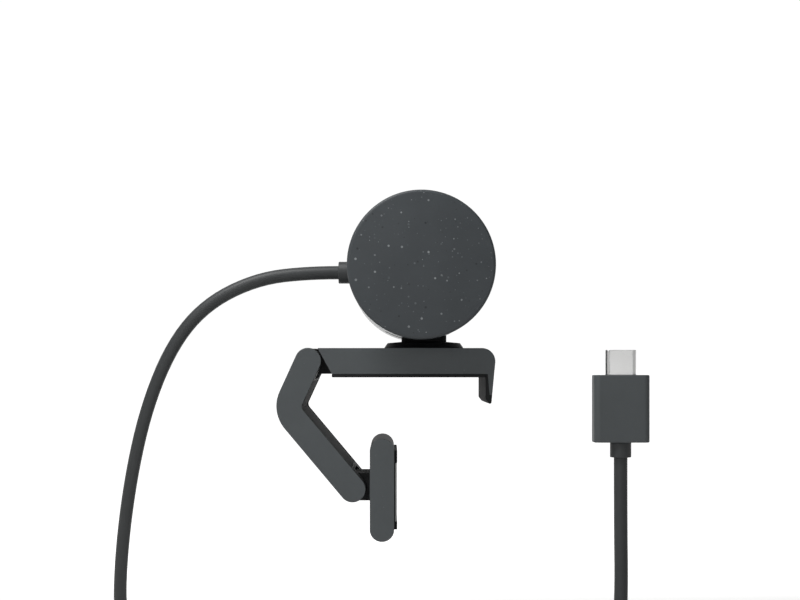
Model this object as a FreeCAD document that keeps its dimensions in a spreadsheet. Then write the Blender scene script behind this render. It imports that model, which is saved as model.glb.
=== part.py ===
import FreeCAD, Part
import math
import os
import Sketcher

# A desk webcam: a short barrel-shaped camera head on a folding clip that
# hangs on the top edge of a monitor, with its lead and connector.
# Row frame: +X is the way the lens looks, +Z is up, and the barrel lies along
# Y.  The origin is the centre of the clip's underside, where it rests.
# Head, lens and shutter pieces are drawn about the barrel's own axis and then
# placed there.

doc = FreeCAD.newDocument("webcam")
sheet = doc.addObject("Spreadsheet::Sheet", "dims")
V = FreeCAD.Vector


# --- sizes -------------------------------------------------------------------

class Size:
    """A number of the design, with the expression that ties it to the sheet."""

    def __init__(self, value, text):
        self.value = value
        self.text = text

    def __add__(self, other):
        other = as_size(other)
        return Size(self.value + other.value, f"({self.text} + {other.text})")

    def __sub__(self, other):
        other = as_size(other)
        return Size(self.value - other.value, f"({self.text} - {other.text})")

    def __mul__(self, other):
        other = as_size(other)
        return Size(self.value * other.value, f"({self.text} * {other.text})")

    def __truediv__(self, other):
        other = as_size(other)
        return Size(self.value / other.value, f"({self.text} / {other.text})")

    def __neg__(self):
        return as_size(0) - self

    __radd__ = __add__
    __rmul__ = __mul__

    def __rsub__(self, other):
        return as_size(other) - self


def as_size(number):
    if isinstance(number, Size):
        return number
    return Size(float(number), f"({float(number)})")


def sine(angle):
    angle = as_size(angle)
    return Size(math.sin(math.radians(angle.value)), f"sin({angle.text})")


def cosine(angle):
    angle = as_size(angle)
    return Size(math.cos(math.radians(angle.value)), f"cos({angle.text})")


def cell(alias, value, note):
    """One driving dimension, in millimetres or degrees."""
    cell.row += 1
    sheet.set(f"A{cell.row}", alias)
    sheet.set(f"B{cell.row}", str(value))
    sheet.set(f"C{cell.row}", note)
    sheet.setAlias(f"B{cell.row}", alias)
    return Size(float(value), f"dims.{alias}")


cell.row = 0

# fits
slip = cell("slip", 0.1, "gap between faces that slide past each other")
run = cell("run", 0.05, "radial clearance of a shaft in its bore")

# clip bar and lip
clip_width = cell("clip_width", 34.0, "clip, along Y")
pad_length = cell("pad_length", 40.3, "rubber face that rests on the monitor, along X")
pad_thick = cell("pad_thick", 0.9, "rubber of the bar")
bar_height = cell("bar_height", 6.8, "bar without its rubber")
bar_wall = cell("bar_wall", 1.4, "roof and walls of the hollow bar")
bar_corner = cell("bar_corner", 3.5, "rounded top corner over the lip")
cheek_over = cell("cheek_over", 3.75, "how far the cheeks' slanted end runs back past the pad")
lip_thick = cell("lip_thick", 2.17, "lip with its rubber, at the resting face")
lip_drop = cell("lip_drop", 6.9, "lip below the resting face")
lip_tip = cell("lip_tip", 2.3, "rubber tip below the plastic of the lip")
lip_lean = cell("lip_lean", 0.094, "inward lean of the lip's outer face, per unit of height")
lip_rubber = cell("lip_rubber", 0.55, "rubber on the lip's inner face")
core_plate = cell("core_plate", 1.4, "plate that closes the bar from below")
boss_radius = cell("boss_radius", 2.2, "screw boss in the bar")
boss_x = cell("boss_x", 13.6, "screw bosses from the middle, along X")
boss_y = cell("boss_y", 11.4, "screw bosses from the middle, along Y")
screw_radius = cell("screw_radius", 0.8, "shank of the small screws")
screw_head = cell("screw_head", 1.7, "head radius of the small screws")

# folding arm
arm_gap = cell("arm_gap", 6.25, "arm pivot behind the rubber face")
arm_z = cell("arm_z", 4.3, "arm pivot above the resting face")
arm_depth = cell("arm_depth", 6.9, "depth of the arm's band")
arm_upper = cell("arm_upper", 14.0, "pivot to elbow")
arm_lower = cell("arm_lower", 27.25, "elbow to foot pivot")
upper_lean = cell("upper_lean", 24.7, "upper arm from the vertical, degrees")
lower_lean = cell("lower_lean", 40.0, "lower arm from the vertical, degrees")
elbow_outer = cell("elbow_outer", 9.3, "outer radius of the elbow")
elbow_inner = cell("elbow_inner", 1.5, "inner radius of the elbow")
knuckle_width = cell("knuckle_width", 22.0, "bar knuckle between the arm's forks")
knuckle_foot = cell("knuckle_foot", 16.0, "foot knuckle between the arm's forks")
pin_radius = cell("pin_radius", 1.5, "hinge pins")
liner_thick = cell("liner_thick", 0.9, "rubber liner on the arm's inner side")
liner_width = cell("liner_width", 32.6, "liner, along Y")

# foot
foot_thick = cell("foot_thick", 6.4, "foot, along X")
foot_height = cell("foot_height", 27.0, "foot, along Z")
foot_x = cell("foot_x", -7.0, "foot's middle, along X")
foot_top = cell("foot_top", -16.1, "foot's top")
foot_pad_height = cell("foot_pad_height", 21.0, "rubber of the foot")
foot_pad_proud = cell("foot_pad_proud", 0.8, "how far the rubber stands out")
knuckle_height = cell("knuckle_height", 7.4, "foot knuckle, along Z")

# swivel
swivel_x = cell("swivel_x", 4.3, "swivel axis, along X")
puck_radius = cell("puck_radius", 10.7, "round swivel base")
puck_height = cell("puck_height", 1.5, "swivel base, edge")
stud_radius = cell("stud_radius", 3.0, "swivel stud")
neck_x = cell("neck_x", 12.1, "neck, along X")
neck_y = cell("neck_y", 8.0, "neck, along Y")
neck_socket = cell("neck_socket", 0.6, "depth of the neck's socket in the swivel base")

# barrel
head_x = cell("head_x", 3.15, "barrel axis, along X")
head_gap = cell("head_gap", 0.4, "gap between the swivel base and the barrel")
barrel_radius = cell("barrel_radius", 19.15, "barrel, outside")
barrel_length = cell("barrel_length", 53.0, "barrel, end to end")
barrel_wall = cell("barrel_wall", 1.6, "barrel wall")
cap_thick = cell("cap_thick", 1.5, "face of the end cap and of the dial")
spigot_length = cell("spigot_length", 2.6, "spigot of the end cap")
dial_length = cell("dial_length", 4.0, "shutter dial, along Y")
edge_round = cell("edge_round", 0.8, "rounding of the barrel's edges")
bezel_radius = cell("bezel_radius", 11.5, "lens bezel")
window_radius = cell("window_radius", 10.4, "front window")
slot_front = cell("slot_front", -45.0, "front end of the neck's slot, degrees")
slot_rear = cell("slot_rear", -119.0, "rear end of the neck's slot, degrees")
shoe_front = cell("shoe_front", -65.0, "front end of the tilt shoe, degrees")
shoe_rear = cell("shoe_rear", -122.0, "rear end of the tilt shoe, degrees")
shoe_width = cell("shoe_width", 17.0, "tilt shoe, along Y")
blade_low = cell("blade_low", 39.0, "open shutter blade, lower edge, degrees")
blade_high = cell("blade_high", 93.0, "open shutter blade, upper edge, degrees")
blade_thick = cell("blade_thick", 0.7, "shutter blade")
blade_end = cell("blade_end", -11.0, "free end of the shutter blade, along Y")

# optics and boards, measured from the barrel axis
lens_radius = cell("lens_radius", 3.6, "lens barrel in its motor")
lens_front = cell("lens_front", 14.6, "front of the lens barrel")
motor_side = cell("motor_side", 10.4, "focus motor, square")
board_height = cell("board_height", 18.0, "main board, along Z")
board_thick = cell("board_thick", 1.0, "circuit boards")
board_x = cell("board_x", -6.4, "front face of the main board")
wall_x = cell("wall_x", -1.6, "front face of the chassis wall")
disc_radius = cell("disc_radius", 15.0, "chassis disc beside the dial")

# lead and connector
cord_radius = cell("cord_radius", 1.825, "lead")
gland_radius = cell("gland_radius", 2.975, "lead's collar at the barrel")
gland_out = cell("gland_out", 2.9, "how far the collar stands out")
cord_drop = cell("cord_drop", -0.7, "collar's axis from the barrel axis, along Z")
coil_x = cell("coil_x", 35.2, "middle of the tied coil, along X")
coil_y = cell("coil_y", 11.8, "middle of the tied coil, along Y")
coil_radius = cell("coil_radius", 21.8, "mean radius of the coil")
coil_bundle = cell("coil_bundle", 11.4, "width and height of the coil's bundle")
coil_low = cell("coil_low", -84.0, "underside of the coil")
tie_thick = cell("tie_thick", 1.1, "strap round the coil")
tie_width = cell("tie_width", 6.0, "strap round the coil, along the lead")
plug_x = cell("plug_x", 56.5, "connector's axis, along X")
plug_y = cell("plug_y", -10.0, "connector's axis, along Y")
plug_z = cell("plug_z", -17.3, "underside of the connector's housing")
housing_width = cell("housing_width", 14.8, "connector housing, along X")
housing_thick = cell("housing_thick", 6.9, "connector housing, along Y")
housing_height = cell("housing_height", 17.9, "connector housing, along Z")
housing_round = cell("housing_round", 1.6, "connector housing, upright edges")
shell_width = cell("shell_width", 8.25, "connector's metal shell, along X")
shell_thick = cell("shell_thick", 2.4, "connector's metal shell, along Y")
shell_length = cell("shell_length", 6.65, "connector's metal shell, along Z")
shell_wall = cell("shell_wall", 0.3, "wall of the metal shell")
collar_radius = cell("collar_radius", 2.825, "strain relief under the housing")
collar_height = cell("collar_height", 4.0, "strain relief under the housing")

# sizes that follow from the ones above
HALF_CLIP = clip_width / 2
HALF_PAD = pad_length / 2
BAR_TOP = pad_thick + bar_height
CAVITY_TOP = BAR_TOP - bar_wall
BARREL_INSIDE = barrel_radius - barrel_wall
HALF_BARREL = barrel_length / 2
DIAL_SIDE = HALF_BARREL - dial_length
NEAR_END = -HALF_BARREL
SHELL_START = NEAR_END + cap_thick
HALF_BAND = arm_depth / 2
# a hair under half the band, so that a rounded end keeps a short flat
END_ROUND = HALF_BAND - 0.05
arm_x = -HALF_PAD - arm_gap
# how far the swivel base's top rises inside its edge
PUCK_RISE = 0.35
head_z = BAR_TOP + puck_height + PUCK_RISE + head_gap + barrel_radius
HEAD = (head_x, 0, head_z)
CLIP = (0, 0, 0)


# --- drawing -----------------------------------------------------------------

def tie(target, **sizes):
    """Bind properties of an object to the sheet."""
    for name, size in sizes.items():
        target.setExpression(name, as_size(size).text)
    return target


places = {}


def seat(target, place, turn=None):
    """Put an object at a place given by sizes, turned by a fixed rotation."""
    if turn is not None:
        target.Placement = FreeCAD.Placement(V(), turn)
    places[target.Name] = place
    for axis, size in zip("xyz", place):
        target.setExpression(f"Placement.Base.{axis}", as_size(size).text)
    return target


def corner_points(corners):
    """For each corner: the point before it, the point after it and its arc."""
    points = [V(as_size(c[0]).value, as_size(c[1]).value, 0) for c in corners]
    found = []
    for index, corner in enumerate(corners):
        here = points[index]
        if len(corner) < 3:
            found.append((here, here, None))
            continue
        radius = as_size(corner[2]).value
        back = (points[index - 1] - here).normalize()
        ahead = (points[(index + 1) % len(points)] - here).normalize()
        half = back.getAngle(ahead) / 2
        reach = radius / math.tan(half)
        middle = here + (back + ahead).normalize() * (radius / math.sin(half))
        found.append((here + back * reach, here + ahead * reach, middle))
    return found


def fix_point(flat, geometry, position, across, up):
    """Hold one point of a sketch at sizes from the sheet."""
    for kind, size in (("DistanceX", as_size(across)), ("DistanceY", as_size(up))):
        rule = flat.addConstraint(Sketcher.Constraint(kind, -1, 1, geometry, position, size.value))
        if "dims." in size.text:
            flat.setExpression(f"Constraints[{rule}]", size.text)


def fix_radius(flat, geometry, radius):
    radius = as_size(radius)
    rule = flat.addConstraint(Sketcher.Constraint("Radius", geometry, radius.value))
    if "dims." in radius.text:
        flat.setExpression(f"Constraints[{rule}]", radius.text)


def draw_outline(flat, corners):
    """Closed outline; a corner is (across, up) or (across, up, radius)."""
    spots = corner_points(corners)
    count = len(corners)
    lines = []
    for index in range(count):
        start = spots[index][1]
        end = spots[(index + 1) % count][0]
        lines.append(flat.addGeometry(Part.LineSegment(start, end), False))
    for index, corner in enumerate(corners):
        before = lines[index - 1]
        after = lines[index]
        entry, leave, middle = spots[index]
        if middle is None:
            flat.addConstraint(Sketcher.Constraint("Coincident", before, 2, after, 1))
            fix_point(flat, after, 1, corner[0], corner[1])
            continue
        first = math.atan2(entry.y - middle.y, entry.x - middle.x)
        last = math.atan2(leave.y - middle.y, leave.x - middle.x)
        turns_left = ((last - first) % math.tau) < math.pi
        low, high = (first, last) if turns_left else (last, first)
        if high < low:
            high += math.tau
        circle = Part.Circle(middle, V(0, 0, 1), as_size(corner[2]).value)
        arc = flat.addGeometry(Part.ArcOfCircle(circle, low, high), False)
        entry_end, leave_end = (1, 2) if turns_left else (2, 1)
        here = V(as_size(corner[0]).value, as_size(corner[1]).value, 0)
        tip = flat.addGeometry(Part.Point(here), True)
        flat.addConstraint(Sketcher.Constraint("Tangent", before, 2, arc, entry_end))
        flat.addConstraint(Sketcher.Constraint("Tangent", arc, leave_end, after, 1))
        flat.addConstraint(Sketcher.Constraint("PointOnObject", tip, 1, before))
        flat.addConstraint(Sketcher.Constraint("PointOnObject", tip, 1, after))
        fix_point(flat, tip, 1, corner[0], corner[1])
        fix_radius(flat, arc, corner[2])


def draw_circle(flat, across, up, radius):
    centre = V(as_size(across).value, as_size(up).value, 0)
    ring = flat.addGeometry(Part.Circle(centre, V(0, 0, 1), as_size(radius).value), False)
    fix_point(flat, ring, 3, across, up)
    fix_radius(flat, ring, radius)


# sketch plane for each normal, and the way its offset counts
PLANES = {"X": ("YZ_Plane", 1), "Y": ("XZ_Plane", -1), "Z": ("XY_Plane", 1)}


def sketch(body, normal, level=0, corners=(), circles=()):
    """A sketch on one of the body's own planes, moved along its normal."""
    role, sign = PLANES[normal]
    plane = next(f for f in body.Origin.OriginFeatures if f.Role == role)
    flat = body.newObject("Sketcher::SketchObject", f"{body.Label}_sketch")
    flat.AttachmentSupport = [(plane, "")]
    flat.MapMode = "FlatFace"
    flat.setExpression("AttachmentOffset.Base.z", (as_size(level) * sign).text)
    if corners:
        draw_outline(flat, corners)
    for circle in circles:
        draw_circle(flat, *circle)
    return flat


def new_body(label):
    body = doc.addObject("PartDesign::Body", label)
    body.Label = label
    return body


def solid_feature(kind, body, normal, span, corners=(), circles=()):
    """A pad or a pocket between two levels of its normal."""
    low, high = as_size(span[0]), as_size(span[1])
    flat = sketch(body, normal, (low + high) / 2, corners, circles)
    made = body.newObject(f"PartDesign::{kind}", f"{body.Label}_{kind.lower()}")
    made.Profile = flat
    made.SideType = "Symmetric"
    return tie(made, Length=high - low)


def pad(body, normal, span, corners=(), circles=()):
    return solid_feature("Pad", body, normal, span, corners, circles)


def pocket(body, normal, span, corners=(), circles=()):
    """A pocket; it must take something away."""
    doc.recompute()
    before = body.Shape.Volume
    made = solid_feature("Pocket", body, normal, span, corners, circles)
    doc.recompute()
    if body.Shape.Volume > before - 1e-4:
        raise RuntimeError(f"a pocket of {body.Label} removes nothing")
    return made


def revolve(label, normal, axis, corners, level=0):
    """A body of revolution about its sketch's own H_Axis or V_Axis."""
    body = new_body(label)
    flat = sketch(body, normal, level, corners)
    made = body.newObject("PartDesign::Revolution", f"{label}_revolution")
    made.Profile = flat
    made.ReferenceAxis = (flat, [axis])
    made.Angle = 360.0
    return body


TO_X = FreeCAD.Rotation(V(0, 1, 0), 90)
TO_Y = FreeCAD.Rotation(V(1, 0, 0), -90)


def block(label, x, y, z):
    """A box between (low, high) limits on each axis."""
    made = doc.addObject("Part::Box", label)
    tie(made, Length=x[1] - x[0], Width=y[1] - y[0], Height=z[1] - z[0])
    return seat(made, (x[0], y[0], z[0]))


def rod(label, along, radius, span, first=0, second=0):
    """A cylinder along an axis; first and second place it on the other two."""
    made = doc.addObject("Part::Cylinder", label)
    tie(made, Radius=radius, Height=as_size(span[1]) - span[0])
    if along == "X":
        return seat(made, (span[0], first, second), TO_X)
    if along == "Y":
        return seat(made, (first, span[0], second), TO_Y)
    return seat(made, (first, second, span[0]), FreeCAD.Rotation())


def sector(label, radius, angles, span):
    """A wedge of a cylinder along Y, between two angles from +X towards +Z."""
    made = doc.addObject("Part::Cylinder", label)
    first = as_size(angles[0])
    turn = FreeCAD.Rotation(V(1, 0, 0), 90) * FreeCAD.Rotation(V(0, 0, 1), first.value)
    tie(made, Radius=radius, Height=as_size(span[1]) - span[0], Angle=as_size(angles[1]) - first)
    return seat(made, (0, span[1], 0), turn)


def arc_plate(label, inside, outside, angles, span):
    """A curved plate about the Y axis."""
    core = rod(f"{label}_core", "Y", inside, span)
    return cut(label, sector(f"{label}_wedge", outside, angles, span), core)


def cut(label, base, *tools):
    made = doc.addObject("Part::Cut", label)
    made.Base = base
    made.Tool = tools[0] if len(tools) == 1 else group(f"{label}_tools", *tools)
    made.Label = label
    return made


def join(label, *pieces):
    made = doc.addObject("Part::MultiFuse", label)
    made.Shapes = list(pieces)
    made.Label = label
    return made


def common(label, *pieces):
    made = doc.addObject("Part::MultiCommon", label)
    made.Shapes = list(pieces)
    made.Label = label
    return made


def group(label, *pieces):
    made = doc.addObject("Part::Compound", label)
    made.Links = list(pieces)
    made.Label = label
    return made


sub_parts = []


def keep(made, place=CLIP):
    """Take an object as a finished sub-part, moved to a place in the row frame."""
    if place is not CLIP:
        own = places.get(made.Name, CLIP)
        seat(made, [as_size(a) + b for a, b in zip(own, place)])
    sub_parts.append(made)
    return made


def both(half):
    """Limits at the same distance either side of the middle."""
    return (-half, half)


def rectangle(x, y):
    return [(x[0], y[0]), (x[1], y[0]), (x[1], y[1]), (x[0], y[1])]


def screw(label, shank, head, head_span, shank_span, x, y):
    """An upright screw, its head at the lower end."""
    return join(label,
                rod(f"{label}_head", "Z", head, head_span, x, y),
                rod(f"{label}_shank", "Z", shank, shank_span, x, y))


# --- clip bar ----------------------------------------------------------------

BOSSES = [(boss_x * sx, boss_y * sy) for sx in (-1, 1) for sy in (-1, 1)]
SHANK_TOP = pad_thick + core_plate + 3.0
LIP_OUT = HALF_PAD + lip_thick
LIP_PLASTIC_END = lip_tip - lip_drop
LIP_PLASTIC_IN = HALF_PAD + lip_rubber
SWIVEL_BORE = stud_radius + run
TONGUE_TOP = BAR_TOP - 0.9


def lip_outer(z):
    """The lip's leaning outer face at a height."""
    return LIP_OUT + lip_lean * z


def make_bar_shell():
    body = new_body("bar_shell")
    pad(body, "Y", (-HALF_CLIP, HALF_CLIP), [
        (-HALF_PAD - cheek_over, BAR_TOP),
        (-HALF_PAD, pad_thick),
        (LIP_PLASTIC_IN, pad_thick),
        (LIP_PLASTIC_IN + 0.5, LIP_PLASTIC_END),
        (lip_outer(LIP_PLASTIC_END), LIP_PLASTIC_END),
        (lip_outer(BAR_TOP), BAR_TOP, bar_corner)])
    wall = HALF_CLIP - bar_wall
    pocket(body, "Z", (pad_thick - 1, CAVITY_TOP),
           rectangle((-HALF_PAD + bar_wall, HALF_PAD - bar_wall), (-wall, wall)))
    tongue = knuckle_width / 2 + slip
    pocket(body, "Z", (pad_thick - 1, TONGUE_TOP + slip),
           rectangle((-HALF_PAD - cheek_over - 1, 2 - HALF_PAD), (-tongue, tongue)))
    pad(body, "Z", (pad_thick + core_plate, CAVITY_TOP), circles=[(x, y, boss_radius) for x, y in BOSSES])
    pocket(body, "Z", (pad_thick, SHANK_TOP + 0.2), circles=[(x, y, screw_radius + run) for x, y in BOSSES])
    pocket(body, "Z", (CAVITY_TOP - 1, BAR_TOP + 1), circles=[(swivel_x, 0, SWIVEL_BORE)])
    keep(body)


def make_bar_core():
    """Plate that closes the bar, with the knuckle that the arm hinges on."""
    body = new_body("bar_core")
    edge = HALF_CLIP - bar_wall - slip
    pad(body, "Z", (pad_thick, pad_thick + core_plate),
        rectangle((-HALF_PAD + bar_wall + slip, HALF_PAD - bar_wall - slip), (-edge, edge)))
    half = knuckle_width / 2
    pad(body, "Y", (-half, half), [
        (arm_x + 2, pad_thick), (-HALF_PAD + 3, pad_thick), (-HALF_PAD + 3, pad_thick + core_plate),
        (1.8 - HALF_PAD, TONGUE_TOP), (arm_x + 2, TONGUE_TOP)])
    pad(body, "Y", (-half, half), [
        (arm_x - HALF_BAND + 0.1, pad_thick, END_ROUND - 0.1),
        (arm_x + 2.1, pad_thick), (arm_x + 2.1, BAR_TOP - slip),
        (arm_x - HALF_BAND + 0.1, BAR_TOP - slip, END_ROUND - 0.1)])
    pocket(body, "Y", (-half - 1, half + 1), circles=[(arm_x, arm_z, pin_radius + run)])
    pocket(body, "Z", (pad_thick - 1, pad_thick + core_plate + 1),
           circles=[(x, y, screw_radius + run) for x, y in BOSSES])
    pocket(body, "Z", (pad_thick - 1, pad_thick + 0.9),
           circles=[(x, y, screw_head + run) for x, y in BOSSES])
    keep(body)


def make_bar_small_parts():
    screws = [screw(f"bar_screw_{n}", screw_radius, screw_head, (pad_thick, pad_thick + 0.9),
                    (pad_thick + 0.8, SHANK_TOP), x, y) for n, (x, y) in enumerate(BOSSES, 1)]
    keep(group("bar_screws", *screws))
    rubber = new_body("bar_pad")
    pad(rubber, "Y", (-HALF_CLIP, HALF_CLIP),
        [(-HALF_PAD, 0), (HALF_PAD, 0), (HALF_PAD, pad_thick), (-HALF_PAD, pad_thick)])
    keep(rubber)
    lip = new_body("lip_pad")
    pad(lip, "Y", (-HALF_CLIP, HALF_CLIP), [
        (HALF_PAD, 0), (HALF_PAD, 1.2 - lip_drop), (HALF_PAD + 0.9, -lip_drop, 0.3),
        (lip_outer(-lip_drop), -lip_drop, 0.4), (lip_outer(LIP_PLASTIC_END), LIP_PLASTIC_END),
        (LIP_PLASTIC_IN + 0.5, LIP_PLASTIC_END), (LIP_PLASTIC_IN, pad_thick),
        (HALF_PAD + slip, pad_thick), (HALF_PAD + slip, 0)])
    keep(lip)


# --- swivel ------------------------------------------------------------------

PUCK_LOW = BAR_TOP + slip
PUCK_EDGE = BAR_TOP + puck_height
PUCK_TOP = PUCK_EDGE + PUCK_RISE
NECK_LOW = PUCK_TOP - neck_socket
SHOE_OUT = BARREL_INSIDE - slip
PAD_IN = SHOE_OUT - 0.5
SHOE_IN = PAD_IN - 1.2
WASHER = (CAVITY_TOP - 0.8, CAVITY_TOP)
NUT = (CAVITY_TOP - 3.0, CAVITY_TOP - 0.8 - slip)
SMALL_SHANK = 0.6
SMALL_HEAD = 1.2
NECK_SCREWS = both(4.4)
SHOE_SHANK = 0.8
SHOE_SCREWS = both(2.6)


def make_swivel():
    puck = revolve("swivel_base", "Y", "V_Axis", [
        (0, PUCK_LOW), (puck_radius, PUCK_LOW), (puck_radius, PUCK_LOW + 0.2),
        (puck_radius - 0.85, PUCK_EDGE), (neck_x / 2, PUCK_TOP), (0, PUCK_TOP)])
    half_x, half_y = neck_x / 2 + run, neck_y / 2 + run
    pocket(puck, "Z", (NECK_LOW, PUCK_TOP + 1), rectangle((-half_x, half_x), (-half_y, half_y)))
    pocket(puck, "Z", (PUCK_LOW - 1, PUCK_LOW + 0.8), circles=[(0, 0, stud_radius + 0.02)])
    for radius, top in ((SMALL_SHANK, PUCK_TOP + 1), (SMALL_HEAD, PUCK_LOW + 0.5)):
        pocket(puck, "Z", (PUCK_LOW - 1, top), circles=[(x, 0, radius + run) for x in NECK_SCREWS])
    keep(puck, (swivel_x, 0, 0))
    keep(rod("swivel_stud", "Z", stud_radius, (NUT[0] - 0.3, PUCK_LOW + 0.8), swivel_x, 0))
    ring = rod("washer_disc", "Z", stud_radius + 2.2, WASHER, swivel_x, 0)
    hole = rod("washer_hole", "Z", SWIVEL_BORE, (WASHER[0] - 1, WASHER[1] + 1), swivel_x, 0)
    keep(cut("swivel_washer", ring, hole))
    hexagon = doc.addObject("Part::Prism", "nut_hexagon")
    hexagon.Polygon = 6
    tie(hexagon, Circumradius=stud_radius + 2.4, Height=NUT[1] - NUT[0])
    seat(hexagon, (swivel_x, 0, NUT[0]))
    thread = rod("nut_thread", "Z", stud_radius + 0.02, (NUT[0] - 1, NUT[1] + 1), swivel_x, 0)
    keep(cut("swivel_nut", hexagon, thread))


def make_neck():
    """Neck from the swivel base into the barrel, cut to the shoe's curve."""
    half_x, half_y = neck_x / 2, neck_y / 2
    body = new_body("neck")
    pad(body, "Z", (NECK_LOW, head_z - 10), [
        (-half_x, -half_y, 1.2), (half_x, -half_y, 1.2), (half_x, half_y, 1.2), (-half_x, half_y, 1.2)])
    pocket(body, "Y", (-half_y - 1, half_y + 1), circles=[(head_x - swivel_x, head_z, PAD_IN)])
    step = NECK_LOW + 2.4
    pocket(body, "Z", (NECK_LOW - 1, step), circles=[(x, 0, SMALL_SHANK + run) for x in NECK_SCREWS])
    pocket(body, "Z", (step, head_z - 10), circles=[(x, 0, SHOE_SHANK + run) for x in SHOE_SCREWS])
    keep(body, (swivel_x, 0, 0))
    head_span = (PUCK_LOW, PUCK_LOW + 0.5)
    shank_span = (PUCK_LOW + 0.4, step - 0.1)
    screws = [screw(f"neck_screw_{n}", SMALL_SHANK, SMALL_HEAD, head_span, shank_span, swivel_x + x, 0)
              for n, x in enumerate(NECK_SCREWS, 1)]
    keep(group("neck_screws", *screws))


def make_shoe():
    """Steel shoe and its friction pad, which bear on the inside of the barrel."""
    angles = (shoe_rear, shoe_front)
    span = (-shoe_width / 2, shoe_width / 2)
    plate = arc_plate("shoe_plate", SHOE_IN, PAD_IN, angles, span)
    offset = swivel_x - head_x
    drill = [rod(f"shoe_drill_{n}", "Z", SHOE_SHANK + run, (-barrel_radius, 0), offset + x, 0)
             for n, x in enumerate(SHOE_SCREWS, 1)]
    keep(cut("tilt_shoe", plate, *drill), HEAD)
    lining = arc_plate("shoe_lining", PAD_IN + 0.02, SHOE_OUT, angles, span)
    half_x, half_y = neck_x / 2 + run, neck_y / 2 + run
    gap = block("shoe_gap", (offset - half_x, offset + half_x), (-half_y, half_y),
                (-barrel_radius, -5))
    keep(cut("tilt_pad", lining, gap), HEAD)
    low = NECK_LOW + 2.6 - head_z
    screws = []
    for n, x in enumerate(SHOE_SCREWS, 1):
        shank = rod(f"shoe_shank_{n}", "Z", SHOE_SHANK, (low, 1.2 - SHOE_IN), offset + x, 0)
        head = rod(f"shoe_head_{n}", "Z", 1.5, (1.1 - SHOE_IN, 1.9 - SHOE_IN), offset + x, 0)
        screws.append(join(f"shoe_screw_{n}", shank, head))
    keep(group("shoe_screws", *screws), HEAD)


# --- barrel ------------------------------------------------------------------

GLAND_HOLE = gland_radius + 0.02
BEZEL_HOLE = bezel_radius + slip
WINDOW_IN = BARREL_INSIDE + 0.25
WINDOW_OUT = barrel_radius - 0.25
LED_Y = -14.5
MICS = (-19.5, 17.2)


def make_barrel_shell():
    outside = rod("barrel_outside", "Y", barrel_radius, (SHELL_START, DIAL_SIDE - slip))
    inside = rod("barrel_inside", "Y", BARREL_INSIDE, (SHELL_START - 1, DIAL_SIDE + 1))
    front = (5, barrel_radius + 2)
    rear = (-barrel_radius - 2, -5)
    window = rod("window_hole", "X", BEZEL_HOLE, front)
    gland = rod("gland_hole", "X", GLAND_HOLE, rear, 0, cord_drop)
    light = rod("light_hole", "X", 0.75 + run, front, LED_Y, 0)
    ports = [rod(f"mic_port_{n}", "X", 0.5, front, y, 0) for n, y in enumerate(MICS, 1)]
    half = neck_y / 2 + 0.3
    slot = sector("neck_slot", barrel_radius + 2, (slot_rear, slot_front), (-half, half))
    made = cut("barrel_shell", outside, inside, window, gland, light, slot, *ports)
    keep(made, HEAD)


SPIGOT_OUT = BARREL_INSIDE - slip
SPIGOT_IN = BARREL_INSIDE - 1.6
DIAL_HUB = 4.5
AXLE = 1.5


def make_end_cap():
    spigot = SHELL_START + spigot_length
    keep(revolve("end_cap", "X", "H_Axis", [
        (NEAR_END, 0), (NEAR_END, barrel_radius, edge_round), (SHELL_START, barrel_radius),
        (SHELL_START, SPIGOT_OUT), (spigot, SPIGOT_OUT), (spigot, SPIGOT_IN), (SHELL_START, SPIGOT_IN),
        (SHELL_START, 0)]), HEAD)


def make_shutter():
    inner = HALF_BARREL - cap_thick
    spigot = DIAL_SIDE - 1.4
    dial = revolve("shutter_dial", "X", "H_Axis", [
        (HALF_BARREL, 1.0), (HALF_BARREL, barrel_radius, edge_round), (DIAL_SIDE, barrel_radius),
        (DIAL_SIDE, SPIGOT_OUT), (spigot, SPIGOT_OUT), (spigot, SPIGOT_IN), (inner, SPIGOT_IN),
        (inner, DIAL_HUB), (DIAL_SIDE, DIAL_HUB), (DIAL_SIDE, AXLE + run), (inner, AXLE + run),
        (inner, 1.0)])
    keep(dial, HEAD)
    outside = BARREL_INSIDE - 0.25
    keep(arc_plate("shutter_blade", outside - blade_thick, outside, (blade_low, blade_high),
                   (blade_end, spigot)), HEAD)
    keep(rod("dial_axle", "Y", AXLE, (DISC_FAR[0] - 1.0, inner)), HEAD)
    leaf = block("spring_leaf", (4, 12),
                 (DISC_FAR[1], DISC_FAR[1] + 0.25), both(2))
    bump = rod("spring_bump", "Y", 1.2, (DISC_FAR[1] + 0.2, spigot - slip), 10, 0)
    keep(join("detent_spring", leaf, bump), HEAD)


def make_front():
    """Window and bezel, both curved like the barrel."""
    whole = both(90)
    span = (-bezel_radius - 1, bezel_radius + 1)
    glass = arc_plate("window_sheet", WINDOW_IN, WINDOW_OUT, whole, span)
    disc = rod("window_disc", "X", window_radius, (5, 25))
    keep(common("front_window", glass, disc), HEAD)
    sheet_metal = arc_plate("bezel_sheet", BARREL_INSIDE + 0.07, barrel_radius + 0.2, whole, span)
    outer = rod("bezel_outer", "X", bezel_radius, (5, 25))
    inner = rod("bezel_inner", "X", window_radius + run, (4, 26))
    keep(common("lens_bezel", sheet_metal, cut("bezel_ring", outer, inner)), HEAD)


# --- optics ------------------------------------------------------------------

MOTOR = (3.6, 9.6)
SENSOR_FRONT = wall_x + board_thick + 0.8
LENS_BORE = 2.2


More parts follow.
